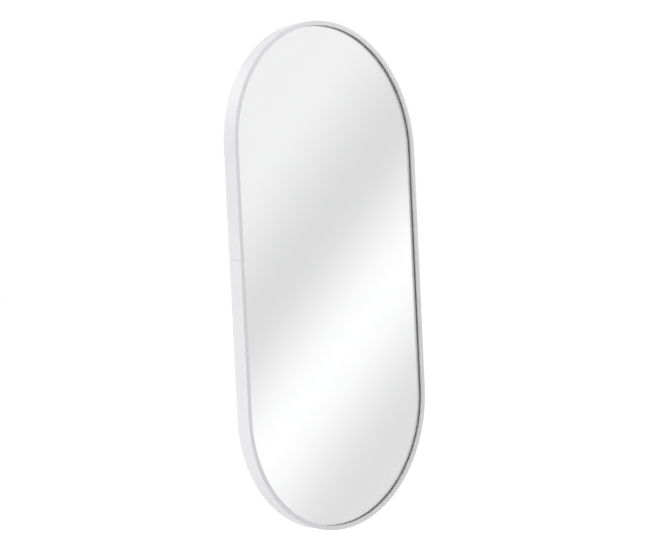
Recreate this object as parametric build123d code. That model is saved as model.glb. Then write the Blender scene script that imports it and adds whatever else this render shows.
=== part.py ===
from build123d import *
import math
import os

# Capsule wall mirror in a thin, deep metal frame. All sizes are millimetres.
# +Z is up and the front faces -Y. The wall is the plane Y = 0, and the origin is the point
# of that plane behind the middle of the mirror. Left and right are as seen from the front.

# Outline of the frame
overall_width = 508.0
overall_height = 1016.0

# Frame extrusion, as a section: how deep it stands, its outer wall and its hollow front lip
frame_depth = 32.0
wall_thickness = 1.4
lip_width = 9.0
lip_depth = 4.2
lip_skin = 1.2
outer_edge_radius = 0.7
lip_edge_radius = 0.4

# T-groove along the rear edge of the extrusion
groove_depth = 2.2
groove_width = 8.4
groove_skin = 1.2
hook_reach = 2.0

# Butt joint of the bent frame, on its left side, and what closes it
joint_height = 44.4
joint_gap = 0.4
splice_length = 60.0
splice_thickness = 2.0
splice_clearance = 0.1
splice_screw_pitch = 16.0
grub_diameter = 3.0
grub_length = 4.0
grub_socket = 1.5
grub_socket_depth = 1.6

# Layers between the lip and the room behind the board
strip_thickness = 0.8
strip_setback = 0.4
pack_clearance = 0.6
pane_thickness = 4.0
pane_edge_ease = 0.5
coat_thickness = 0.3
coat_setback = 0.8
cushion_thickness = 2.0
cushion_setback = 2.0
board_thickness = 9.0

# Spacers between the pane's edge and the frame's wall
spacer_count = 10
spacer_length = 20.0
spacer_clearance = 0.05

# Clips that hold the board in the frame
clip_count = 10
clip_width = 14.0
clip_thickness = 1.2
clip_bend = 1.0
clip_foot = 18.0
clip_riser_gap = 3.0
clip_tip_gap = 0.8
clip_screw_setback = 7.5

# Pan-head screws
screw_diameter = 3.5
screw_head_diameter = 7.0
screw_head_height = 2.2
screw_crown_diameter = 5.0
screw_length = 8.0
screw_tip = 1.6
bumper_screw_length = 10.0
recess_width = 1.0
recess_span = 4.2
recess_depth = 1.3
pilot_clearance = 0.05
screw_hole_clearance = 0.35

# Wall bumpers
rim_stand_off = 2.0
bumper_base_diameter = 18.0
bumper_face_diameter = 15.0
bumper_edge_radius = 1.0
bumper_floor = 4.5
bumper_well_diameter = 9.6
bumper_inset = 62.0
bumper_angle = 48.0
washer_diameter = 9.0
washer_thickness = 1.0

# D-ring hangers
wire_diameter = 3.2
ring_inner_width = 25.0
ring_leg = 6.0
ring_corner_radius = 3.0
barrel_clearance = 0.08
strap_thickness = 1.2
strap_width = 19.0
strap_length = 58.0
strap_ramp = 8.0
strap_corner_radius = 5.0
strap_first_hole = 30.0
strap_hole_pitch = 20.0
ring_rest_gap = 0.3
upright_setback = 134.0
upright_drop = 163.0
sideways_spacing = 440.0
sideways_drop = 59.0

# Worked out from the sizes above
half_width = overall_width / 2
half_straight = (overall_height - overall_width) / 2
rim_y = -rim_stand_off
front_y = rim_y - frame_depth
lip_back_y = front_y + lip_depth
pane_front_y = lip_back_y + strip_thickness
pane_back_y = pane_front_y + pane_thickness
coat_back_y = pane_back_y + coat_thickness
cushion_back_y = coat_back_y + cushion_thickness
board_back_y = cushion_back_y + board_thickness
groove_floor = wall_thickness + groove_depth
groove_top = groove_floor + groove_skin
groove_rear_y = rim_y - groove_skin
groove_front_y = groove_rear_y - groove_width
pack_inset = groove_top + pack_clearance
wire_radius = wire_diameter / 2
bore_radius = wire_radius + barrel_clearance
barrel_radius = bore_radius + strap_thickness
screw_hole_radius = screw_diameter / 2 + screw_hole_clearance
ring_half = ring_inner_width / 2 + wire_radius
ring_reach = ring_leg + ring_half
# the ring's end rests where its curve crosses the strap's edges
ring_rest_reach = ring_leg + math.sqrt(ring_half**2 - (strap_width / 2) ** 2)
ring_rest_lift = 2 * strap_thickness + wire_radius + ring_rest_gap - barrel_radius
ring_rest_tilt = math.degrees(math.asin(ring_rest_lift / ring_rest_reach))


def section(points):
    """A closed section at the right-hand side, from points of (inset from the outer face, Y)."""
    return make_face(Polyline(*[(half_width - inset, y) for inset, y in points], close=True))


def rounded(sketch, points, radius):
    """The sketch with its corners at some (inset, Y) points rounded."""
    spots = [Vector(half_width - inset, y) for inset, y in points]
    corners = [v for v in sketch.vertices() if any((Vector(v) - s).length < 1e-4 for s in spots)]
    return fillet(corners, radius)


def bend_round(profile):
    """The closed ring that a section makes when it is carried round the whole outline."""
    side = extrude(Pos(0, 0, -half_straight) * profile, amount=2 * half_straight, dir=(0, 0, 1))
    axis = Axis((0, 0, half_straight), (0, -1, 0))
    end = revolve(Pos(0, 0, half_straight) * profile, axis, 180)
    half = side + end
    return half + Rot(0, 180, 0) * half


def capsule_sheet(inset, back_y, thickness):
    """A flat sheet with the frame's outline, drawn in by inset, its back face at back_y."""
    outline = Rot(0, 0, 90) * SlotOverall(overall_height - 2 * inset, overall_width - 2 * inset)
    return extrude(Plane.XZ.offset(-back_y) * outline, amount=thickness)


def round_frame(share, inset):
    """A place some share of the way round from the top, clockwise as seen from the front.

    Its local Z points out of the outline, its local Y to the wall and its local X along the frame.
    """
    quarter = math.pi * half_width / 2
    perimeter = 4 * (quarter + half_straight)
    way = (share % 1) * perimeter
    lower = way >= perimeter / 2
    way -= perimeter / 2 if lower else 0
    if way < quarter:
        turn = way / half_width
        centre_z, along = half_straight, 0
    elif way < quarter + 2 * half_straight:
        turn = math.pi / 2
        centre_z, along = half_straight, way - quarter
    else:
        turn = (way - 2 * half_straight) / half_width
        centre_z, along = half_straight, 2 * half_straight
    radius = half_width - inset
    x = radius * math.sin(turn)
    z = centre_z - along + radius * math.cos(turn)
    place = Location((x, 0, z), (0, math.degrees(turn), 0))
    return Location((0, 0, 0), (0, 180, 0)) * place if lower else place


def placed(solid, places):
    """Copies of one solid at several places, as separate solids."""
    return Compound([place * solid for place in places])


def rod(radius, length):
    """A cylinder along Y, centred on the origin."""
    return Cylinder(radius, length, rotation=(90, 0, 0))


def pan_screw(length):
    """A pan-head screw with a cross recess, its head's seat at the origin and its shank along -Y."""
    head_radius = screw_head_diameter / 2
    shank_radius = screw_diameter / 2
    outline = Polyline(
        (0, -length),
        (shank_radius, -length + screw_tip),
        (shank_radius, 0),
        (head_radius, 0),
        (head_radius, screw_head_height / 2),
        (screw_crown_diameter / 2, screw_head_height),
        (0, screw_head_height),
        close=True,
    )
    body = revolve(make_face(outline), Axis.Y, 360)
    slot = Box(recess_span, 2 * recess_depth, recess_width)
    top = Pos(0, screw_head_height, 0)
    return body - top * slot - top * Rot(0, 90, 0) * slot


def frame_profile():
    """The bent extrusion: a deep outer wall, a hollow front lip and a T-groove, open at its butt joint."""
    front_hook_y = groove_front_y + hook_reach
    rear_hook_y = groove_rear_y - hook_reach
    outer = [
        (0, front_y),
        (lip_width, front_y),
        (lip_width, lip_back_y),
        (wall_thickness, lip_back_y),
        (wall_thickness, groove_front_y - groove_skin),
        (groove_top, groove_front_y - groove_skin),
        (groove_top, front_hook_y),
        (groove_floor, front_hook_y),
        (groove_floor, groove_front_y),
        (wall_thickness, groove_front_y),
        (wall_thickness, groove_rear_y),
        (groove_floor, groove_rear_y),
        (groove_floor, rear_hook_y),
        (groove_top, rear_hook_y),
        (groove_top, rim_y),
        (0, rim_y),
    ]
    hollow = [
        (wall_thickness, front_y + lip_skin),
        (lip_width - lip_skin, front_y + lip_skin),
        (lip_width - lip_skin, lip_back_y - lip_skin),
        (wall_thickness, lip_back_y - lip_skin),
    ]
    profile = rounded(section(outer), [(0, front_y), (0, rim_y)], outer_edge_radius)
    profile = rounded(profile, [(lip_width, front_y), (lip_width, lip_back_y)], lip_edge_radius)
    ring = bend_round(profile - section(hollow))
    # the kerf is wider and deeper than the section, so it opens the ring
    kerf = Box(3 * lip_width, 2 * frame_depth, joint_gap)
    return ring - Pos(-half_width, rim_y - frame_depth / 2, joint_height) * kerf


def groove_splice_bar():
    """Flat bar in the T-groove across the joint, pulled against the groove's hooks by its screws."""
    bar = Box(splice_thickness, groove_width - 2 * splice_clearance, splice_length)
    x = -half_width + groove_floor - splice_thickness / 2
    bar = Pos(x, (groove_front_y + groove_rear_y) / 2, joint_height) * bar
    hole = Cylinder(grub_diameter / 2 + pilot_clearance, 4 * splice_thickness, rotation=(0, 90, 0))
    for place in grub_places():
        bar -= place * hole
    return bar


def grub_places():
    """Where the four grub screws cross the inner face of the frame's wall, two on each side of the joint."""
    y = (groove_front_y + groove_rear_y) / 2
    x = -half_width + wall_thickness
    reach = (splice_screw_pitch / 2, splice_screw_pitch * 3 / 2)
    return [Pos(x, y, joint_height + side * step) for side in (-1, 1) for step in reach]


def splice_grub_screws():
    """Grub screws in the splice bar, with their points on the frame's wall and hexagon sockets inwards."""
    screw = Cylinder(
        grub_diameter / 2, grub_length, rotation=(0, 90, 0), align=(Align.CENTER, Align.CENTER, Align.MIN)
    )
    socket = extrude(Plane.YZ.offset(grub_length) * RegularPolygon(grub_socket / 2, 6), -grub_socket_depth)
    return placed(screw - socket, grub_places())


def lip_splice_key():
    """Key inside the hollow lip across the joint."""
    width = lip_width - lip_skin - wall_thickness - 2 * splice_clearance
    depth = lip_depth - 2 * lip_skin - 2 * splice_clearance
    x = -half_width + (wall_thickness + lip_width - lip_skin) / 2
    return Pos(x, (front_y + lip_back_y) / 2, joint_height) * Box(width, depth, splice_length)


def glazing_strip():
    """Foam strip pressed between the back of the lip and the front of the pane."""
    outer_inset = pack_inset + pane_edge_ease
    inner_inset = lip_width - strip_setback
    return bend_round(
        section(
            [
                (outer_inset, lip_back_y),
                (inner_inset, lip_back_y),
                (inner_inset, pane_front_y),
                (outer_inset, pane_front_y),
            ]
        )
    )


def mirror_pane():
    """Glass pane with its sharp edges eased."""
    pane = capsule_sheet(pack_inset, pane_back_y, pane_thickness)
    rims = pane.faces().filter_by(Axis.Y).edges()
    return chamfer(rims, pane_edge_ease)


def silvered_backing():
    """Silver, paint and safety film on the back of the pane, as one thin sheet."""
    return capsule_sheet(pack_inset + coat_setback, coat_back_y, coat_thickness)


def cushion_sheet():
    """Foam sheet between the coated pane and the board."""
    return capsule_sheet(pack_inset + cushion_setback, cushion_back_y, cushion_thickness)


def backing_board():
    """Board that closes the back, with a pilot hole for every screw."""
    board = capsule_sheet(pack_inset, board_back_y, board_thickness)
    radius = screw_diameter / 2 + pilot_clearance
    seats = [
        (clip_screw_places(), screw_length - clip_thickness),
        (hanger_screw_places(), screw_length - 2 * strap_thickness),
        (bumper_places(), bumper_screw_length - bumper_floor - washer_thickness),
    ]
    for places, bite in seats:
        depth = bite + pilot_clearance
        drill = Pos(0, board_back_y - depth / 2, 0) * rod(radius, depth)
        for place in places:
            flat = Location((place.position.X, 0, place.position.Z))
            board -= flat * drill
    return board


def pane_spacers():
    """Rubber blocks that centre the pane in the frame and carry its weight."""
    inner = pack_inset - spacer_clearance
    outer = wall_thickness + spacer_clearance
    corners = [(outer, pane_front_y), (inner, pane_front_y), (inner, pane_back_y), (outer, pane_back_y)]
    band = bend_round(section(corners))
    window = Pos(0, pane_back_y, 0) * Box(spacer_length, 3 * pane_thickness, 3 * pack_inset)
    blocks = []
    for number in range(spacer_count):
        # half a step on from the even steps that start at the top, so none stands at the very bottom
        place = round_frame((number + 0.5) / spacer_count, 0)
        blocks += (band & (place * window)).solids()
    return Compound(blocks)


def clip_places():
    """Even steps round the frame, the first at the top."""
    return [round_frame(number / clip_count, 0) for number in range(clip_count)]


def clip_foot_start():
    """How far in from the frame's outer face the riser of a clip stands."""
    return pack_inset + clip_riser_gap


def clip_screw_places():
    """The clips' screw places, on the board."""
    inset = clip_foot_start() + clip_foot - clip_screw_setback
    return [place * Pos(0, 0, -inset) for place in clip_places()]


def retaining_clips():
    """Offset clips: a foot on the board, a riser and a tongue behind the groove's rear hook."""
    half = clip_thickness / 2
    tongue_y = groove_rear_y - hook_reach - half
    foot_y = board_back_y + half
    riser = clip_foot_start()
    path = FilletPolyline(
        (riser + clip_foot, foot_y),
        (riser, foot_y),
        (riser, tongue_y),
        (wall_thickness + clip_tip_gap, tongue_y),
        radius=clip_bend + half,
    )
    # the path's X is the inset, which runs along the place's -Z
    strip = Rot(0, 90, 0) * trace(path, clip_thickness)
    clip = extrude(strip, clip_width / 2, dir=(1, 0, 0), both=True)
    hole_z = clip_screw_setback - riser - clip_foot
    clip -= Pos(0, foot_y, hole_z) * rod(screw_hole_radius, 2 * clip_thickness)
    return placed(clip, clip_places())


def clip_screws():
    """One pan-head screw in each clip's foot."""
    return placed(Pos(0, board_back_y + clip_thickness, 0) * pan_screw(screw_length), clip_screw_places())


def bumper_places():
    """Four places on the round ends, the same angle from the middle line."""
    radius = half_width - bumper_inset
    x = radius * math.sin(math.radians(bumper_angle))
    z = half_straight + radius * math.cos(math.radians(bumper_angle))
    return [Pos(side * x, 0, end * z) for end in (1, -1) for side in (-1, 1)]


def wall_bumpers():
    """Tapered rubber feet from the board to the wall, each with a well for its screw."""
    base, face = bumper_base_diameter / 2, bumper_face_diameter / 2
    well = bumper_well_diameter / 2
    floor_y = board_back_y + bumper_floor
    outline = Polyline(
        (screw_hole_radius, board_back_y),
        (base, board_back_y),
        (face, 0),
        (well, 0),
        (well, floor_y),
        (screw_hole_radius, floor_y),
        close=True,
    )
    side = make_face(outline)
    tip = [v for v in side.vertices() if (Vector(v) - Vector(face, 0)).length < 1e-4]
    return placed(revolve(fillet(tip, bumper_edge_radius), Axis.Y, 360), bumper_places())


def bumper_washers():
    """Steel washers on the floors of the bumpers' wells."""
    middle_y = board_back_y + bumper_floor + washer_thickness / 2
    washer = rod(washer_diameter / 2, washer_thickness) - rod(screw_hole_radius, 2 * washer_thickness)
    return placed(Pos(0, middle_y, 0) * washer, bumper_places())


def bumper_screws():
    """Longer pan-head screws through the washers into the board."""
    seat_y = board_back_y + bumper_floor + washer_thickness
    return placed(Pos(0, seat_y, 0) * pan_screw(bumper_screw_length), bumper_places())


def hanger_places():
    """The four hangers' places: on the board's back under the pivot, local Z the way the ring is pulled."""
    up_x = half_width - upright_setback
    up_z = overall_height / 2 - upright_drop
    out_x = half_width - sideways_drop
    turned = (0, 90, 0)
    return {
        "upright_{}_left": Location((-up_x, board_back_y, up_z)),
        "upright_{}_right": Location((up_x, board_back_y, up_z)),
        "sideways_{}_upper": Location((out_x, board_back_y, sideways_spacing / 2), turned),
        "sideways_{}_lower": Location((out_x, board_back_y, -sideways_spacing / 2), turned),
    }


def strap_hole_places():
    """The two screw holes of a strap, from its pivot."""
    return [Pos(0, 0, -strap_first_hole), Pos(0, 0, -strap_first_hole - strap_hole_pitch)]


def hanger_screw_places():
    """Every hanger screw's place on the board."""
    return [place * hole for place in hanger_places().values() for hole in strap_hole_places()]


def hanger_strap():
    """A strip folded round the ring's bar and back on itself, with its two layers pressed together."""
    double = 2 * strap_thickness
    flat_length = strap_length - strap_ramp
    flat = Pos(-strap_ramp - flat_length / 2, double / 2) * Rectangle(flat_length, double)
    # the strip's outside and inside run straight from the barrel to a hair's breadth where its layers meet
    hair = strap_thickness / 10
    centre = Pos(0, barrel_radius)
    meeting = Pos(-strap_ramp, double / 2) * Rectangle(hair, double)
    fold = make_hull((centre * Circle(barrel_radius)).edges() + meeting.edges())
    pinch = Pos(-strap_ramp, strap_thickness) * Circle(hair / 2)
    eye = make_hull((centre * Circle(bore_radius)).edges() + pinch.edges())
    # the side view's X runs along the strap, which is the place's Z
    side = Plane((0, 0, 0), x_dir=(0, 0, 1), z_dir=(-1, 0, 0)) * (fold + flat - eye)
    strap = extrude(side, strap_width / 2, both=True)
    ends = [e for e in strap.edges().filter_by(Axis.Y) if e.center().Z < -strap_length + 1e-4]
    strap = fillet(ends, strap_corner_radius)
    for hole in strap_hole_places():
        strap -= hole * rod(screw_hole_radius, 3 * double)
    return strap


def hanger_ring():
    """A D-ring of round wire, its bar in the strap's fold, hanging back over the strap."""
    bar, corner = ring_half - ring_corner_radius, ring_corner_radius
    turn = corner * (1 - math.sqrt(0.5))
    wire = Wire(
        [
            Line((0, 0), (bar, 0)),
            ThreePointArc((bar, 0), (ring_half - turn, -turn), (ring_half, -corner)),
            Line((ring_half, -corner), (ring_half, -ring_leg)),
            ThreePointArc((ring_half, -ring_leg), (0, -ring_reach), (-ring_half, -ring_leg)),
            Line((-ring_half, -ring_leg), (-ring_half, -corner)),
            ThreePointArc((-ring_half, -corner), (turn - ring_half, -turn), (-bar, 0)),
            Line((-bar, 0), (0, 0)),
        ]
    )
    ring = sweep(Plane.YZ * Circle(wire_radius), path=wire)
    upright = Plane.XZ * ring
    return Pos(0, barrel_radius, 0) * Rot(ring_rest_tilt, 0, 0) * upright


def hanger_screws():
    """Two pan-head screws in each strap."""
    seat = Pos(0, 2 * strap_thickness, 0)
    return placed(seat * pan_screw(screw_length), hanger_screw_places())


def build():
    """Every node's solids by the node's name."""
    nodes = {
        "frame_profile": frame_profile(),
        "groove_splice_bar": groove_splice_bar(),
        "lip_splice_key": lip_splice_key(),
        "splice_grub_screws": splice_grub_screws(),
        "glazing_strip": glazing_strip(),
        "mirror_pane": mirror_pane(),
        "silvered_backing": silvered_backing(),
        "cushion_sheet": cushion_sheet(),
        "backing_board": backing_board(),
        "pane_spacers": pane_spacers(),
        "retaining_clips": retaining_clips(),
        "clip_screws": clip_screws(),
        "hanger_screws": hanger_screws(),
        "wall_bumpers": wall_bumpers(),
        "bumper_washers": bumper_washers(),
        "bumper_screws": bumper_screws(),
    }
    strap, ring = hanger_strap(), hanger_ring()
    for name, place in hanger_places().items():
        nodes[name.format("strap")] = place * strap
        nodes[name.format("ring")] = place * ring
    return nodes


os.makedirs("parts", exist_ok=True)
for node, shape in build().items():
    export_step(shape, f"parts/{node}.step")
print(f"ring at rest: {ring_rest_tilt:.2f} degrees off its strap")
print(f"rear room: {rim_y - board_back_y:.1f} mm, pane recess: {pane_front_y - front_y:.1f} mm")
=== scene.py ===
import bpy
import math
from mathutils import Matrix, Vector


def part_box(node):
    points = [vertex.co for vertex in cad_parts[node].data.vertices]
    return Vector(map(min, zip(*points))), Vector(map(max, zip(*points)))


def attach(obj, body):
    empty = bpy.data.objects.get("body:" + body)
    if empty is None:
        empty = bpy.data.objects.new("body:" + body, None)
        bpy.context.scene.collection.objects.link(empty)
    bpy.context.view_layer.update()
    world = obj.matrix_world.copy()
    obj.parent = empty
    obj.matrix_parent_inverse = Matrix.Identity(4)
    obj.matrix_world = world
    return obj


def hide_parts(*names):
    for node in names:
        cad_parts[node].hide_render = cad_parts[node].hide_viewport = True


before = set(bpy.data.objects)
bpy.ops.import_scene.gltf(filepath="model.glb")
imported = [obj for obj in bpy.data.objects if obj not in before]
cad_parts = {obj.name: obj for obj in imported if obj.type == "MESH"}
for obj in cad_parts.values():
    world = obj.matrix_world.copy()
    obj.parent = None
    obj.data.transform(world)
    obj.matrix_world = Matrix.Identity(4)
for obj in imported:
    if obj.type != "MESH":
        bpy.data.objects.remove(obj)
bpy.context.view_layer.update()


# The frame: one length of aluminium extrusion, bent to the capsule and butted on its left side,
# with a hollow front lip and a T-groove along its rear edge. White powder coat covers it, a little
# full over the edges, with a fine orange peel. Two small keys inside it hold the joint closed.
frame_low, frame_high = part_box("frame_profile")
half_width, half_height = frame_high.x, frame_high.z
front_y, rim_y = frame_low.y, frame_high.y
wall = 0.0014
lip_width = 0.0090
lip_back_y = front_y + 0.0042
lip_skin = 0.0012
groove_floor = wall + 0.0022
groove_skin = 0.0012
groove_width = 0.0084
hook_reach = 0.0020
joint_height = 0.0444
joint_gap = 0.0004
bend_steps = 64
round_steps = 4
corner_share = 0.49999
quarter_turn = math.pi / 2
sharp_angle = math.radians(35)


class Value:
    """A socket in a node tree. Sums with it add Math nodes, and node() adds any other node."""

    def __init__(self, tree, socket=None):
        self.tree = tree
        self.socket = socket

    def node(self, kind, settings=None, inputs=None, output=0):
        """One node, with its settings and then its sockets set, as the Value of one of its outputs."""
        made = self.tree.nodes.new(kind)
        for name, setting in (settings or {}).items():
            if name == "stops":
                made.color_ramp.interpolation = "EASE"
                ramp = made.color_ramp.elements
                while len(ramp) < len(setting):
                    ramp.new(1)
                for stop, (place, level) in zip(ramp, setting):
                    stop.position = place
                    stop.color = (level, level, level, 1)
            else:
                setattr(made, name, setting)
        for name, value in (inputs or {}).items():
            for each in value if isinstance(value, list) else [value]:
                if isinstance(each, Value):
                    self.tree.links.new(each.socket, made.inputs[name])
                else:
                    made.inputs[name].default_value = each
        return Value(self.tree, made.outputs[output] if len(made.outputs) else None)

    def maths(self, operation, *others):
        return self.node("ShaderNodeMath", {"operation": operation}, dict(enumerate((self, *others))))

    def __add__(self, other):
        return self.maths("ADD", other)

    def __sub__(self, other):
        return self.maths("SUBTRACT", other)

    def __rsub__(self, other):
        return self.maths("MULTIPLY_ADD", -1, other)

    def __mul__(self, other):
        return self.maths("MULTIPLY", other)

    def __truediv__(self, other):
        return self.maths("DIVIDE", other)

    def __gt__(self, other):
        return self.maths("GREATER_THAN", other)

    def __lt__(self, other):
        return self.maths("LESS_THAN", other)

    __radd__ = __add__
    __rmul__ = __mul__

    def held(self, low=0.0, high=1.0):
        """This value kept between two limits."""
        return self.node("ShaderNodeClamp", inputs={"Value": self, "Min": low, "Max": high})

    def parts(self):
        """The X, Y and Z of this vector."""
        split = self.node("ShaderNodeSeparateXYZ", inputs={"Vector": self}).socket.node
        return [Value(self.tree, socket) for socket in split.outputs]

    def vector(self, x, y, z):
        return self.node("ShaderNodeCombineXYZ", inputs={"X": x, "Y": y, "Z": z})

    def colour(self, dark, light):
        """A colour that goes from dark to light as this value goes from 0 to 1."""
        inputs = {0: self, 6: (*dark, 1), 7: (*light, 1)}
        return self.node("ShaderNodeMix", {"data_type": "RGBA"}, inputs, output=2)

    def grain(self, size, detail=2.0, stretch=(1, 1, 1)):
        """Noise on the object's own coordinates, its features about size metres across."""
        place = self.node("ShaderNodeTexCoord", output="Object")
        place = self.node("ShaderNodeMapping", inputs={"Vector": place, "Scale": stretch})
        inputs = {"Vector": place, "Scale": 1 / size, "Detail": detail}
        return self.node("ShaderNodeTexNoise", inputs=inputs)

    def cells(self, per_metre):
        """Closed cells on the object's own coordinates: 0 in each middle, and more towards its walls."""
        place = self.node("ShaderNodeTexCoord", output="Object")
        return self.node("ShaderNodeTexVoronoi", inputs={"Vector": place, "Scale": per_metre})

    def bump(self, height, depth, under=None):
        """A normal raised by depth metres where height is 1."""
        inputs = {"Height": height, "Distance": depth}
        if under:
            inputs["Normal"] = under
        return self.node("ShaderNodeBump", inputs=inputs)

    def eased(self, width):
        """The surface's normal, rounded over the edges of a piece."""
        return self.node("ShaderNodeBevel", {"samples": 4}, {"Radius": width})

    def edges(self, width):
        """About 1 on the edges of a piece and 0 on its flats."""
        rounded = self.eased(width)
        flat = self.node("ShaderNodeNewGeometry", output="Normal")
        normals = {0: rounded, 1: flat}
        along = self.node("ShaderNodeVectorMath", {"operation": "DOT_PRODUCT"}, normals, "Value")
        return ((1 - along) * 8).held()

    def moved(self, place=(0, 0, 0), turn=(0, 0, 0)):
        """This geometry turned, and then carried to its place."""
        inputs = {"Geometry": self, "Translation": place, "Rotation": turn}
        return self.node("GeometryNodeTransform", inputs=inputs)

    def cut_by(self, tool):
        """This solid with another taken out of it."""
        settings = {"operation": "DIFFERENCE", "solver": "EXACT"}
        return self.node("GeometryNodeMeshBoolean", settings, {"Mesh 1": self, "Mesh 2": tool})


def finish(name, shade):
    """A material whose surface is the shader that shade makes."""
    made = bpy.data.materials.new(name)
    made.use_nodes = True
    made.node_tree.nodes.clear()
    start = Value(made.node_tree)
    start.node("ShaderNodeOutputMaterial", inputs={"Surface": shade(start)})
    return made


def geometry_tree(name, sockets):
    """A geometry tree with named inputs, and those inputs as Values."""
    tree = bpy.data.node_groups.new(name, "GeometryNodeTree")
    tree.interface.new_socket("Geometry", in_out="INPUT", socket_type="NodeSocketGeometry")
    for socket, kind in sockets.items():
        tree.interface.new_socket(socket, in_out="INPUT", socket_type="NodeSocket" + kind)
    tree.interface.new_socket("Geometry", in_out="OUTPUT", socket_type="NodeSocketGeometry")
    entry = tree.nodes.new("NodeGroupInput")
    return tree, {socket.name: Value(tree, socket) for socket in entry.outputs if socket.name}


def close_tree(geometry, material):
    """The end of a geometry tree: plain geometry in one material."""
    geometry = geometry.node("GeometryNodeRealizeInstances", inputs={"Geometry": geometry})
    inputs = {"Geometry": geometry, "Material": material}
    geometry = geometry.node("GeometryNodeSetMaterial", inputs=inputs)
    geometry.node("NodeGroupOutput", inputs={"Geometry": geometry})


def grown(name, tree, values, start=None):
    """The plain mesh that a geometry tree makes, with its real edges kept sharp."""
    piece = bpy.data.objects.new(name, start or bpy.data.meshes.new(name))
    bpy.context.scene.collection.objects.link(piece)
    modifier = piece.modifiers.new(name, "NODES")
    modifier.node_group = tree
    for item in tree.interface.items_tree:
        if item.in_out == "INPUT" and item.name in values:
            modifier[item.identifier] = values[item.name]
    evaluated = piece.evaluated_get(bpy.context.evaluated_depsgraph_get())
    mesh = bpy.data.meshes.new_from_object(evaluated)
    piece.modifiers.clear()
    piece.data = mesh
    mesh.shade_smooth()
    mesh.set_sharp_from_angle(angle=sharp_angle)
    piece.modifiers.new("flats", "WEIGHTED_NORMAL").keep_sharp = True
    return piece


def powder_coat(start):
    """Satin white powder coat: orange peel, a few specks, and a tone that wanders very slightly."""
    peel = start.grain(0.0016, 1.5)
    drift = start.grain(0.09, 2.0)
    speck = start.grain(0.0011, 0.0) > 0.79
    shade = (drift * 0.7 + peel * 0.3).colour((0.79, 0.79, 0.81), (0.85, 0.85, 0.862))
    inputs = {
        "Base Color": shade,
        "Roughness": 0.34 + drift * 0.10 + peel * 0.06 - speck * 0.05,
        "IOR": 1.5,
        "Normal": start.bump(peel + speck * 0.6, 0.00003),
    }
    return start.node("ShaderNodeBsdfPrincipled", inputs=inputs)


def section_drawing(name, loops):
    """A section as closed lines of (inset, y, rounding)."""
    drawing = bpy.data.curves.new(name, "CURVE")
    drawing.dimensions = "3D"
    for loop in loops:
        line = drawing.splines.new("POLY")
        line.points.add(len(loop) - 1)
        line.use_cyclic_u = True
        for point, (inset, y, rounding) in zip(line.points, loop):
            point.co = (y, -inset, 0, 1)
            point.radius = rounding
    made = bpy.data.objects.new(name, drawing)
    bpy.context.scene.collection.objects.link(made)
    return made


def capsule_line(start, given):
    """The outline of the capsule: a rectangle with its corners rounded until they all but meet."""
    inputs = {"Width": given["Width"], "Height": given["Height"]}
    line = start.node("GeometryNodeCurvePrimitiveQuadrilateral", {"mode": "RECTANGLE"}, inputs)
    inputs = {"Curve": line, "Radius": given["Width"] * corner_share, "Count": given["Bend Steps"]}
    return start.node("GeometryNodeFilletCurve", {"mode": "POLY"}, inputs)


def bend_tree():
    """Carries a section round the capsule and saws the joint's kerf through it."""
    sockets = {
        "Section": "Object",
        "Width": "Float",
        "Height": "Float",
        "Bend Steps": "Int",
        "Round Steps": "Int",
        "Kerf": "Vector",
        "Kerf Place": "Vector",
        "Finish": "Material",
    }
    tree, given = geometry_tree("bent extrusion", sockets)
    start = Value(tree)
    line = capsule_line(start, given).moved(turn=(-quarter_turn, 0, 0))
    inputs = {"Curve": line, "Normal": (0, 1, 0)}
    line = start.node("GeometryNodeSetCurveNormal", {"mode": "FREE"}, inputs)
    inputs = {"Object": given["Section"]}
    section = start.node("GeometryNodeObjectInfo", inputs=inputs, output="Geometry")
    radius = start.node("GeometryNodeInputRadius")
    inputs = {"Curve": section, "Radius": radius, "Count": given["Round Steps"]}
    section = start.node("GeometryNodeFilletCurve", {"mode": "POLY"}, inputs)
    section = start.node("GeometryNodeSetCurveRadius", inputs={"Curve": section, "Radius": 1.0})
    bent = start.node("GeometryNodeCurveToMesh", inputs={"Curve": line, "Profile Curve": section})
    saw = start.node("GeometryNodeMeshCube", inputs={"Size": given["Kerf"]})
    close_tree(bent.cut_by(saw.moved(given["Kerf Place"])), given["Finish"])
    return tree


groove_top = groove_floor + groove_skin
groove_rear_y = rim_y - groove_skin
groove_front_y = groove_rear_y - groove_width
skin_loop = [
    (0, front_y, 0.0007),
    (lip_width, front_y, 0.0005),
    (lip_width, lip_back_y, 0.0004),
    (wall, lip_back_y, 0.0003),
    (wall, groove_front_y - groove_skin, 0.0003),
    (groove_top, groove_front_y - groove_skin, 0.0003),
    (groove_top, groove_front_y + hook_reach, 0.0003),
    (groove_floor, groove_front_y + hook_reach, 0.0003),
    (groove_floor, groove_front_y, 0.0002),
    (wall, groove_front_y, 0.0002),
    (wall, groove_rear_y, 0.0002),
    (groove_floor, groove_rear_y, 0.0002),
    (groove_floor, groove_rear_y - hook_reach, 0.0003),
    (groove_top, groove_rear_y - hook_reach, 0.0003),
    (groove_top, rim_y, 0.0003),
    (0, rim_y, 0.0007),
]
hollow_loop = [
    (wall, front_y + lip_skin, 0.0003),
    (wall, lip_back_y - lip_skin, 0.0003),
    (lip_width - lip_skin, lip_back_y - lip_skin, 0.0003),
    (lip_width - lip_skin, front_y + lip_skin, 0.0003),
]
section = section_drawing("section", [skin_loop, hollow_loop])
coat_white = finish("white powder coat", powder_coat)
bent_tree = bend_tree()
bent_frame = grown(
    "bent_frame",
    bent_tree,
    {
        "Section": section,
        "Width": 2 * half_width,
        "Height": 2 * half_height,
        "Bend Steps": bend_steps,
        "Round Steps": round_steps,
        "Kerf": (3 * lip_width, 2 * (rim_y - front_y), joint_gap),
        "Kerf Place": (-half_width, (front_y + rim_y) / 2, joint_height),
        "Finish": coat_white,
    },
)
bpy.data.objects.remove(section)
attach(bent_frame, "framed_mirror")
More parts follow.
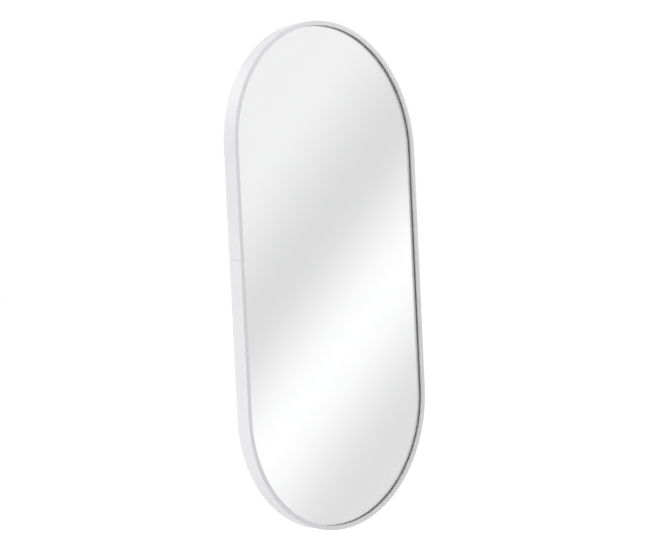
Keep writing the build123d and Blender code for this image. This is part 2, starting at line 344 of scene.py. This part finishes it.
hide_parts("frame_profile")


def dress(material, *nodes):
    """Gives CAD nodes a finish."""
    for node in nodes:
        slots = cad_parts[node].data.materials
        slots.clear()
        slots.append(material)


def drawn_steel(start):
    """Plain drawn steel: fine scratches along the bar, a thin film of oil and faint staining."""
    scratch = start.grain(0.0004, 3.0, (1, 1, 0.05))
    stain = start.grain(0.012, 3.0)
    edge = start.edges(0.0003)
    shade = (scratch * 0.4 + stain * 0.6).colour((0.36, 0.35, 0.34), (0.60, 0.60, 0.60))
    inputs = {
        "Base Color": shade,
        "Metallic": 1.0,
        "Roughness": 0.22 + stain * 0.25 + scratch * 0.1 - edge * 0.1,
        "Normal": start.bump(scratch, 0.00001),
    }
    return start.node("ShaderNodeBsdfPrincipled", inputs=inputs)


def black_oxide(start):
    """Oiled black oxide on the grub screws, rubbed through to grey on their edges."""
    grain = start.grain(0.0005, 2.0)
    edge = start.edges(0.00015)
    shade = (edge * 0.8 * grain + grain * 0.1).colour((0.02, 0.02, 0.022), (0.30, 0.30, 0.31))
    inputs = {
        "Base Color": shade,
        "Metallic": 0.9,
        "Roughness": 0.30 + grain * 0.2,
        "Normal": start.bump(grain, 0.00001),
    }
    return start.node("ShaderNodeBsdfPrincipled", inputs=inputs)


dress(finish("drawn steel", drawn_steel), "groove_splice_bar", "lip_splice_key")
dress(finish("black oxide", black_oxide), "splice_grub_screws")


# The glazing: a strip of closed-cell foam behind the lip, a 4 mm pane of float glass with eased
# edges, and its silver with the grey safety film behind it. Rubber blocks centre the pane.
contact_gap = 0.00003
strip_setback = 0.0004


def strip_foam(start):
    """White foam with fine closed cells."""
    cells = start.cells(1400)
    drift = start.grain(0.01, 2.0)
    inputs = {
        "Base Color": (cells * 0.7 + drift * 0.3).colour((0.84, 0.84, 0.84), (0.93, 0.93, 0.93)),
        "Roughness": 0.8 + drift * 0.15,
        "Normal": start.bump(cells, 0.0001),
    }
    return start.node("ShaderNodeBsdfPrincipled", inputs=inputs)


def float_glass(start):
    """Clear float glass: flat to the eye, with its faint draw lines and a trace of haze."""
    draw = start.grain(0.16, 1.0, (1, 1, 0.25))
    haze = start.grain(0.05, 3.0)
    inputs = {
        "Base Color": haze.colour((0.992, 0.995, 0.994), (0.996, 0.998, 0.997)),
        "Roughness": haze * 0.006,
        "IOR": 1.52,
        "Transmission Weight": 1.0,
        "Normal": start.bump(draw, 0.00002),
    }
    return start.node("ShaderNodeBsdfPrincipled", inputs=inputs)


def silver_and_film(start):
    """Silver towards the glass, and the grey safety film with its weave of fine threads behind."""
    y = start.node("ShaderNodeTexCoord", output="Object").parts()[1]
    behind = y > coat_low.y + contact_gap * 2
    thread = start.grain(0.0008, 1.0, (1, 1, 0.2))
    shade = (thread * behind + (1 - behind)).colour((0.30, 0.31, 0.32), (0.975, 0.975, 0.975))
    inputs = {
        "Base Color": shade,
        "Metallic": 1 - behind,
        "Roughness": behind * (0.5 + thread * 0.2),
    }
    return start.node("ShaderNodeBsdfPrincipled", inputs=inputs)


def rubber(start):
    """Moulded black rubber: fine matt grain, a grey bloom and paler rubbed edges."""
    grain = start.grain(0.0005, 3.0)
    bloom = start.grain(0.006, 3.0)
    edge = start.edges(0.0005)
    shade = (bloom * 0.5 + edge * 0.35).held().colour((0.018, 0.018, 0.019), (0.095, 0.094, 0.092))
    inputs = {
        "Base Color": shade,
        "Roughness": 0.62 + bloom * 0.2 - edge * 0.08,
        "Normal": start.bump(grain, 0.00005),
    }
    return start.node("ShaderNodeBsdfPrincipled", inputs=inputs)


strip_low, strip_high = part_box("glazing_strip")
strip_inset = half_width - strip_high.x
strip_reach = lip_width - strip_setback
strip_loop = [
    (strip_inset, strip_low.y, 0.0001),
    (strip_reach, strip_low.y, 0.0002),
    (strip_reach, strip_high.y - contact_gap, 0.0002),
    (strip_inset, strip_high.y - contact_gap, 0.0001),
]
section = section_drawing("strip section", [strip_loop])
foam_strip = grown(
    "foam_strip",
    bent_tree,
    {
        "Section": section,
        "Width": 2 * half_width,
        "Height": 2 * half_height,
        "Bend Steps": bend_steps,
        "Round Steps": round_steps,
        "Kerf": (joint_gap / 2, rim_y - front_y, 3 * lip_width),
        "Kerf Place": (0, strip_low.y, -half_height),
        "Finish": finish("foam strip", strip_foam),
    },
)
bpy.data.objects.remove(section)
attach(foam_strip, "framed_mirror")
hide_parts("glazing_strip")

black_rubber = finish("black rubber", rubber)
dress(finish("float glass", float_glass), "mirror_pane")


def sheet_tree():
    """A flat capsule sheet with its front at a given y and its thickness behind it."""
    sockets = {
        "Width": "Float",
        "Height": "Float",
        "Depth": "Float",
        "Front": "Float",
        "Bend Steps": "Int",
        "Finish": "Material",
    }
    tree, given = geometry_tree("capsule sheet", sockets)
    start = Value(tree)
    inputs = {"Curve": capsule_line(start, given)}
    face = start.node("GeometryNodeFillCurve", {"mode": "NGONS"}, inputs)
    inputs = {"Mesh": face, "Offset Scale": given["Depth"], "Individual": False}
    top = start.node("GeometryNodeExtrudeMesh", {"mode": "FACES"}, inputs)
    under = start.node("GeometryNodeFlipFaces", inputs={"Mesh": face})
    sheet = start.node("GeometryNodeJoinGeometry", inputs={"Geometry": [under, top]})
    sheet = start.node("GeometryNodeMergeByDistance", inputs={"Geometry": sheet, "Distance": 1e-6})
    sheet = sheet.moved(start.vector(0, given["Front"], 0), (-quarter_turn, 0, 0))
    close_tree(sheet, given["Finish"])
    return tree


coat_low, coat_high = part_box("silvered_backing")
silver_coat = grown(
    "silver_coat",
    sheet_tree(),
    {
        "Width": 2 * coat_high.x,
        "Height": 2 * coat_high.z,
        "Depth": coat_high.y - coat_low.y - contact_gap,
        "Front": coat_low.y + contact_gap,
        "Bend Steps": bend_steps,
        "Finish": finish("silver and film", silver_and_film),
    },
)
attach(silver_coat, "framed_mirror")
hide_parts("silvered_backing")
dress(black_rubber, "pane_spacers")


# The back: a thin foam sheet against the pane, and behind it a fibreboard, sawn to the capsule,
# drilled for its screws and rolled matt black.
def foam_sheet(start):
    """White expanded foam sheet."""
    cells = start.cells(700)
    inputs = {
        "Base Color": cells.colour((0.74, 0.75, 0.76), (0.88, 0.88, 0.88)),
        "Roughness": 0.55 + cells * 0.2,
        "Normal": start.bump(cells, 0.0001),
    }
    return start.node("ShaderNodeBsdfPrincipled", inputs=inputs)


def rolled_black(start):
    """Matt black paint rolled on fibreboard: stipple, faint roller lanes and pale handling scuffs."""
    stipple = start.grain(0.0013, 3.0)
    lanes = start.grain(0.03, 3.0, (1, 1, 0.08))
    rubbed = start.grain(0.10, 5.0)
    scuff = ((rubbed - 0.58) * 6).held() * start.grain(0.002, 4.0, (1, 1, 0.15))
    tone = (lanes * 0.35 + stipple * 0.25 + scuff * 0.5).held()
    inputs = {
        "Base Color": tone.colour((0.012, 0.012, 0.013), (0.070, 0.069, 0.067)),
        "Roughness": 0.58 + lanes * 0.18 + scuff * 0.1,
        "IOR": 1.45,
        "Normal": start.bump(stipple, 0.00008),
    }
    return start.node("ShaderNodeBsdfPrincipled", inputs=inputs)


dress(finish("foam sheet", foam_sheet), "cushion_sheet")
dress(finish("rolled black paint", rolled_black), "backing_board")


# The clips that hold the board in the frame: zinc-plated strips, bent twice, each with its tongue
# in the frame's groove and one screw through its foot.
clip_width = 0.0140
clip_thickness = 0.0012
clip_bend = 0.0016
clip_hole = 0.0021
clip_foot_end = -0.0075
clip_riser = 0.0105
clip_tip = 0.0167
clip_rise = 0.0073
clip_side_round = 0.0003
piece_reach = 0.008


def zinc(grain_size, stretch):
    """Bright zinc plate over rolled steel, with cloudy patches and edges rubbed brighter."""

    def shade(start):
        grain = start.grain(grain_size, 3.0, stretch)
        cloud = start.grain(0.007, 3.0)
        edge = start.edges(0.0004)
        tone = (cloud * 0.55 + grain * 0.3 + edge * 0.35).held()
        inputs = {
            "Base Color": tone.colour((0.44, 0.455, 0.48), (0.80, 0.81, 0.82)),
            "Metallic": 1.0,
            "Roughness": 0.20 + cloud * 0.22 + grain * 0.08 - edge * 0.08,
            "Normal": start.bump(grain, 0.000012, start.eased(0.00025)),
        }
        return start.node("ShaderNodeBsdfPrincipled", inputs=inputs)

    return shade


def piece_middles(node, y):
    """A mesh with a point over the middle of each of a CAD node's like pieces."""
    groups = []
    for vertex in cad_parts[node].data.vertices:
        spot = Vector((vertex.co.x, vertex.co.z))
        near = [group for group in groups if (group[0] - spot).length < piece_reach]
        if near:
            near[0].append(spot)
        else:
            groups.append([spot])
    middles = []
    for group in groups:
        across = [spot.x for spot in group]
        up = [spot.y for spot in group]
        middles.append(((min(across) + max(across)) / 2, y, (min(up) + max(up)) / 2))
    made = bpy.data.meshes.new(node)
    made.from_pydata(middles, [], [])
    return made


def clip_tree():
    """Bent clips at the points of a mesh, each with its tongue towards the frame."""
    sockets = {
        "Width": "Float",
        "Thickness": "Float",
        "Bend Radius": "Float",
        "Hole Radius": "Float",
        "Foot End": "Float",
        "Riser": "Float",
        "Tip": "Float",
        "Rise": "Float",
        "Side Round": "Float",
        "Spine": "Float",
        "Finish": "Material",
    }
    tree, given = geometry_tree("bent clip", sockets)
    start = Value(tree)
    foot = given["Thickness"] * 0.5
    tongue = foot + given["Rise"]
    corners = {
        "Point 1": start.vector(0, foot, given["Foot End"]),
        "Point 2": start.vector(0, foot, given["Riser"]),
        "Point 3": start.vector(0, tongue, given["Riser"]),
        "Point 4": start.vector(0, tongue, given["Tip"]),
    }
    line = start.node("GeometryNodeCurvePrimitiveQuadrilateral", {"mode": "POINTS"}, corners)
    line = start.node("GeometryNodeSetSplineCyclic", inputs={"Geometry": line, "Cyclic": False})
    inputs = {"Curve": line, "Radius": given["Bend Radius"], "Count": 5}
    line = start.node("GeometryNodeFilletCurve", {"mode": "POLY"}, inputs)
    inputs = {"Curve": line, "Normal": (1, 0, 0)}
    line = start.node("GeometryNodeSetCurveNormal", {"mode": "FREE"}, inputs)
    inputs = {"Width": given["Width"], "Height": given["Thickness"]}
    strip = start.node("GeometryNodeCurvePrimitiveQuadrilateral", {"mode": "RECTANGLE"}, inputs)
    inputs = {"Curve": strip, "Radius": given["Side Round"], "Count": 2}
    strip = start.node("GeometryNodeFilletCurve", {"mode": "POLY"}, inputs)
    inputs = {"Curve": line, "Profile Curve": strip, "Fill Caps": True}
    clip = start.node("GeometryNodeCurveToMesh", inputs=inputs)
    inputs = {"Vertices": 32, "Radius": given["Hole Radius"], "Depth": given["Thickness"] * 4}
    punch = start.node("GeometryNodeMeshCylinder", inputs=inputs)
    clip = clip.cut_by(punch.moved(turn=(quarter_turn, 0, 0)))
    x, _, z = start.node("GeometryNodeInputPosition").parts()
    outwards = start.vector(x, 0, z - z.held(given["Spine"] * -1, given["Spine"]))
    settings = {"axis": "Z", "pivot_axis": "Y"}
    turn = start.node("FunctionNodeAlignRotationToVector", settings, {"Vector": outwards})
    inputs = {"Points": given["Geometry"], "Instance": clip, "Rotation": turn}
    close_tree(start.node("GeometryNodeInstanceOnPoints", inputs=inputs), given["Finish"])
    return tree


board_back_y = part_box("backing_board")[1].y
board_clips = grown(
    "board_clips",
    clip_tree(),
    {
        "Width": clip_width,
        "Thickness": clip_thickness,
        "Bend Radius": clip_bend,
        "Hole Radius": clip_hole,
        "Foot End": clip_foot_end,
        "Riser": clip_riser,
        "Tip": clip_tip,
        "Rise": clip_rise,
        "Side Round": clip_side_round,
        "Spine": half_height - half_width,
        "Finish": finish("zinc clip", zinc(0.0005, (1, 1, 1))),
    },
    piece_middles("clip_screws", board_back_y),
)
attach(board_clips, "framed_mirror")
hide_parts("retaining_clips")


# The screws: zinc-plated pan heads with a tapered cross recess and a cut thread. One holds each
# clip and each bumper, and two hold each strap. They were driven by hand, so no two turns match.
head_radius = 0.0035
head_height = 0.0022
head_rim = 0.0007
shank_radius = 0.00175
screw_tip = 0.0016
thread_pitch = 0.0013
recess_span = 0.0042
recess_width = 0.0010
recess_depth = 0.0013
crown_power = 0.62
recess_taper = 0.6
point_top = 0.32
point_bottom = 0.06
core_share = 0.76
ridge_share = 0.22
tip_share = 0.1
short_screw = 0.008
bumper_screw = 0.010


def pan_screw_tree():
    """Pan-head screws at the points of a mesh, each turned its own way about Y."""
    sockets = {
        "Head Radius": "Float",
        "Head Height": "Float",
        "Rim Height": "Float",
        "Shank Radius": "Float",
        "Length": "Float",
        "Tip": "Float",
        "Pitch": "Float",
        "Recess": "Vector",
        "Turn Seed": "Int",
        "Finish": "Material",
    }
    tree, given = geometry_tree("pan screw", sockets)
    start = Value(tree)
    radius, rim, depth = given["Head Radius"], given["Rim Height"], given["Recess"].parts()[2]
    # the head starts as a disc, and the rings of its top face rise into a crown
    inputs = {"Vertices": 32, "Side Segments": 1, "Fill Segments": 7, "Radius": radius, "Depth": rim}
    head = start.node("GeometryNodeMeshCylinder", {"fill_type": "TRIANGLE_FAN"}, inputs)
    x, y, z = start.node("GeometryNodeInputPosition").parts()
    reach = (x * x + y * y).maths("SQRT").maths("MAXIMUM", 1e-6)
    arc = reach / radius * quarter_turn
    out = arc.maths("SINE").maths("POWER", crown_power) * radius / reach
    up = arc.maths("COSINE").maths("MAXIMUM", 0).maths("POWER", crown_power)
    up = up * (given["Head Height"] - rim)
    inputs = {"Geometry": head, "Selection": z > 0, "Position": start.vector(x * out, y * out, z + up)}
    head = start.node("GeometryNodeSetPosition", inputs=inputs).moved(start.vector(0, 0, rim * 0.5))
    # two blades and a point cut the cross, all narrower at the bottom
    blade = start.node("GeometryNodeMeshCube", inputs={"Size": given["Recess"]})
    narrow = start.vector(x * recess_taper, y * recess_taper, z)
    inputs = {"Geometry": blade, "Selection": z < 0, "Position": narrow}
    blade = start.node("GeometryNodeSetPosition", inputs=inputs)
    cross = blade.moved(turn=(0, 0, quarter_turn))
    inputs = {
        "Vertices": 16,
        "Radius Top": radius * point_top,
        "Radius Bottom": radius * point_bottom,
        "Depth": depth,
    }
    point = start.node("GeometryNodeMeshCone", inputs=inputs).moved(start.vector(0, 0, depth * -0.5))
    settings = {"operation": "UNION", "solver": "EXACT"}
    cutter = start.node("GeometryNodeMeshBoolean", settings, {"Mesh 2": [blade, cross, point]})
    lift = start.vector(0, 0, given["Head Height"] - depth * 0.4)
    head = head.cut_by(cutter.moved(lift))
    # the core with its point, and the thread wound on it
    core = given["Shank Radius"] * core_share
    straight = given["Length"] - given["Tip"]
    inputs = {"Vertices": 16, "Radius": core, "Depth": straight}
    shank = start.node("GeometryNodeMeshCylinder", inputs=inputs).moved(start.vector(0, 0, straight * -0.5))
    inputs = {"Vertices": 16, "Radius Top": core, "Radius Bottom": core * tip_share, "Depth": given["Tip"]}
    tip = start.node("GeometryNodeMeshCone", inputs=inputs).moved(start.vector(0, 0, given["Length"] * -1))
    wound = straight - given["Pitch"]
    inputs = {
        "Resolution": 16,
        "Rotations": wound / given["Pitch"],
        "Start Radius": core,
        "End Radius": core,
        "Height": wound,
    }
    thread = start.node("GeometryNodeCurveSpiral", inputs=inputs)
    inputs = {"Resolution": 3, "Radius": given["Shank Radius"] * ridge_share}
    ridge = start.node("GeometryNodeCurvePrimitiveCircle", {"mode": "RADIUS"}, inputs)
    inputs = {"Curve": thread, "Profile Curve": ridge, "Fill Caps": True}
    thread = start.node("GeometryNodeCurveToMesh", inputs=inputs).moved(start.vector(0, 0, straight * -1))
    screw = start.node("GeometryNodeJoinGeometry", inputs={"Geometry": [head, shank, tip, thread]})
    screw = screw.moved(turn=(-quarter_turn, 0, 0))
    turns = {0: (0, 0, 0), 1: (0, math.pi, 0), "Seed": given["Turn Seed"]}
    turn = start.node("FunctionNodeRandomValue", {"data_type": "FLOAT_VECTOR"}, turns)
    inputs = {"Points": given["Geometry"], "Instance": screw, "Rotation": turn}
    close_tree(start.node("GeometryNodeInstanceOnPoints", inputs=inputs), given["Finish"])
    return tree


screw_tree = pan_screw_tree()
screw_zinc = finish("zinc screw", zinc(0.0003, (1, 1, 1)))
screw_sets = [
    ("clip_screws", short_screw),
    ("hanger_screws", short_screw),
    ("bumper_screws", bumper_screw),
]
for seed, (node, length) in enumerate(screw_sets):
    screws = grown(
        f"threaded_{node}",
        screw_tree,
        {
            "Head Radius": head_radius,
            "Head Height": head_height,
            "Rim Height": head_rim,
            "Shank Radius": shank_radius,
            "Length": length,
            "Tip": screw_tip,
            "Pitch": thread_pitch,
            "Recess": (recess_span, recess_width, recess_depth),
            "Turn Seed": seed,
            "Finish": screw_zinc,
        },
        piece_middles(node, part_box(node)[1].y - head_height),
    )
    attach(screws, "framed_mirror")
    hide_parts(node)


# The hangers: zinc-plated straps folded round D-rings of thick wire, two to hang the mirror
# upright and two to hang it sideways. Each ring swings in its strap's fold.
strap_zinc = finish("zinc strap", zinc(0.0005, (1, 1, 0.08)))
wire_zinc = finish("zinc wire", zinc(0.0006, (1, 1, 1)))
hangers = [f"upright_{{}}_{side}" for side in ("left", "right")]
hangers += [f"sideways_{{}}_{side}" for side in ("upper", "lower")]
for hanger in hangers:
    dress(strap_zinc, hanger.format("strap"))
    dress(wire_zinc, hanger.format("ring"))


# The bumpers: moulded rubber feet that meet the wall, each with a steel washer in its well and
# one of the longer screws through both into the board.
dress(black_rubber, "wall_bumpers")
dress(screw_zinc, "bumper_washers")


# The studio: a pale floor well under the hung mirror, soft light from all round it, and a white
# surround in which the mirror sees two soft boxes with a grey gap between them. Each pair is a
# place across the boxes and its level: first box, gap, second box and the wall past it.
floor_drop = 1.0
floor_reach = 30.0
floor_lift = 0.58
across_boxes = Vector((0.5245, 0.5744, -0.6285))
soft_boxes = [(-0.103, 0.915), (-0.036, 0.745), (0.034, 1.040), (0.105, 0.770)]
far_swell = 0.12
far_pitch = 20.0
plain_light = 0.545


def surround(start):
    """White to the camera, soft boxes to glass and metal, and one plain level to everything else."""
    towards = start.node("ShaderNodeTexCoord", output="Generated")
    both = {0: towards, 1: across_boxes}
    along = start.node("ShaderNodeVectorMath", {"operation": "DOT_PRODUCT"}, both, "Value")
    low, high = soft_boxes[0][0], soft_boxes[-1][0]
    brightest = max(level for _, level in soft_boxes)
    stops = [((place - low) / (high - low), level / brightest) for place, level in soft_boxes]
    boxes = start.node("ShaderNodeValToRGB", {"stops": stops}, {"Fac": (along - low) / (high - low)})
    # away from the photographed streak the level swells gently, so other views see soft boxes too
    swell = (along * far_pitch).maths("SINE") * far_swell
    away = ((along.maths("ABSOLUTE") - high) * 5).held()
    level = boxes * brightest + swell * away
    path = start.node("ShaderNodeLightPath").socket.node.outputs
    glossy = Value(start.tree, path["Is Glossy Ray"])
    through = Value(start.tree, path["Is Transmission Ray"])
    boxes = start.node("ShaderNodeBackground", inputs={"Color": (1, 1, 1, 1), "Strength": level})
    plain = start.node("ShaderNodeBackground", inputs={"Color": (1, 1, 1, 1), "Strength": plain_light})
    white = start.node("ShaderNodeBackground", inputs={"Color": (1, 1, 1, 1), "Strength": 1.0})
    light = start.node("ShaderNodeMixShader", inputs={0: (glossy + through).held(), 1: plain, 2: boxes})
    to_camera = Value(start.tree, path["Is Camera Ray"])
    return start.node("ShaderNodeMixShader", inputs={0: to_camera, 1: light, 2: white})


world = bpy.data.worlds.new("studio")
bpy.context.scene.world = world
world.use_nodes = True
world.node_tree.nodes.clear()
start = Value(world.node_tree)
start.node("ShaderNodeOutputWorld", inputs={"Surface": surround(start)})


def pale_floor(start):
    """Plain pale floor that keeps its shadows and is white to the camera where it is lit."""
    grain = start.grain(0.4, 2.0)
    shade = grain.colour((0.78, 0.78, 0.78), (0.82, 0.82, 0.82))
    body = start.node("ShaderNodeBsdfDiffuse", inputs={"Color": shade})
    path = start.node("ShaderNodeLightPath", output="Is Camera Ray")
    lift = start.node("ShaderNodeEmission", inputs={"Color": (1, 1, 1, 1), "Strength": floor_lift})
    lifted = start.node("ShaderNodeAddShader", inputs={0: body, 1: lift})
    return start.node("ShaderNodeMixShader", inputs={0: path, 1: body, 2: lifted})


floor_mesh = bpy.data.meshes.new("floor")
floor_z = -half_height - floor_drop
corners = [
    (-floor_reach, -floor_reach, floor_z),
    (floor_reach, -floor_reach, floor_z),
    (floor_reach, floor_reach, floor_z),
    (-floor_reach, floor_reach, floor_z),
]
floor_mesh.from_pydata(corners, [], [(0, 1, 2, 3)])
floor = bpy.data.objects.new("floor", floor_mesh)
bpy.context.scene.collection.objects.link(floor)
floor_mesh.materials.append(finish("pale floor", pale_floor))
floor.visible_glossy = False
floor.visible_transmission = False


def soft_light(name, place, size, power):
    """A square area light that looks at the mirror and stays out of its reflection."""
    lamp = bpy.data.lights.new(name, "AREA")
    lamp.size = size
    lamp.energy = power
    made = bpy.data.objects.new(name, lamp)
    made.location = place
    made.rotation_euler = Vector(place).to_track_quat("Z", "Y").to_euler()
    made.visible_camera = False
    made.visible_transmission = False
    bpy.context.scene.collection.objects.link(made)
    return made


soft_light("left light", (-2.3, -0.3, -0.7), 1.4, 19)
soft_light("top light", (-0.1, -0.9, 1.6), 1.0, 10)
low_light = soft_light("low light", (0.7, -1.2, -1.2), 0.6, 2.0)
low_light.visible_glossy = False
soft_light("right light", (2.4, 0.6, 0.6), 1.6, 18)
soft_light("back light", (-1.2, 3.0, 1.8), 2.2, 40)

# The camera stands left of the mirror, at its middle's height, and leans a little to the left.
# Its place, turn and lens give the photograph's perspective.
camera_place = Vector((-1.8511, -1.8406, 0.0904))
camera_turn = math.radians(45.17)
camera_dip = math.radians(1.95)
camera_lean = math.radians(2.72)
camera_lens = 71.64
camera = bpy.data.cameras.new("camera")
camera.lens = camera_lens
camera.sensor_width = 36.0
camera.clip_start = 0.05
view = bpy.data.objects.new("camera", camera)
turn = Matrix.Rotation(-camera_turn, 4, "Z") @ Matrix.Rotation(quarter_turn - camera_dip, 4, "X")
view.matrix_world = Matrix.Translation(camera_place) @ turn @ Matrix.Rotation(-camera_lean, 4, "Z")
bpy.context.scene.collection.objects.link(view)
bpy.context.scene.camera = view
bpy.context.scene.view_settings.view_transform = "Standard"
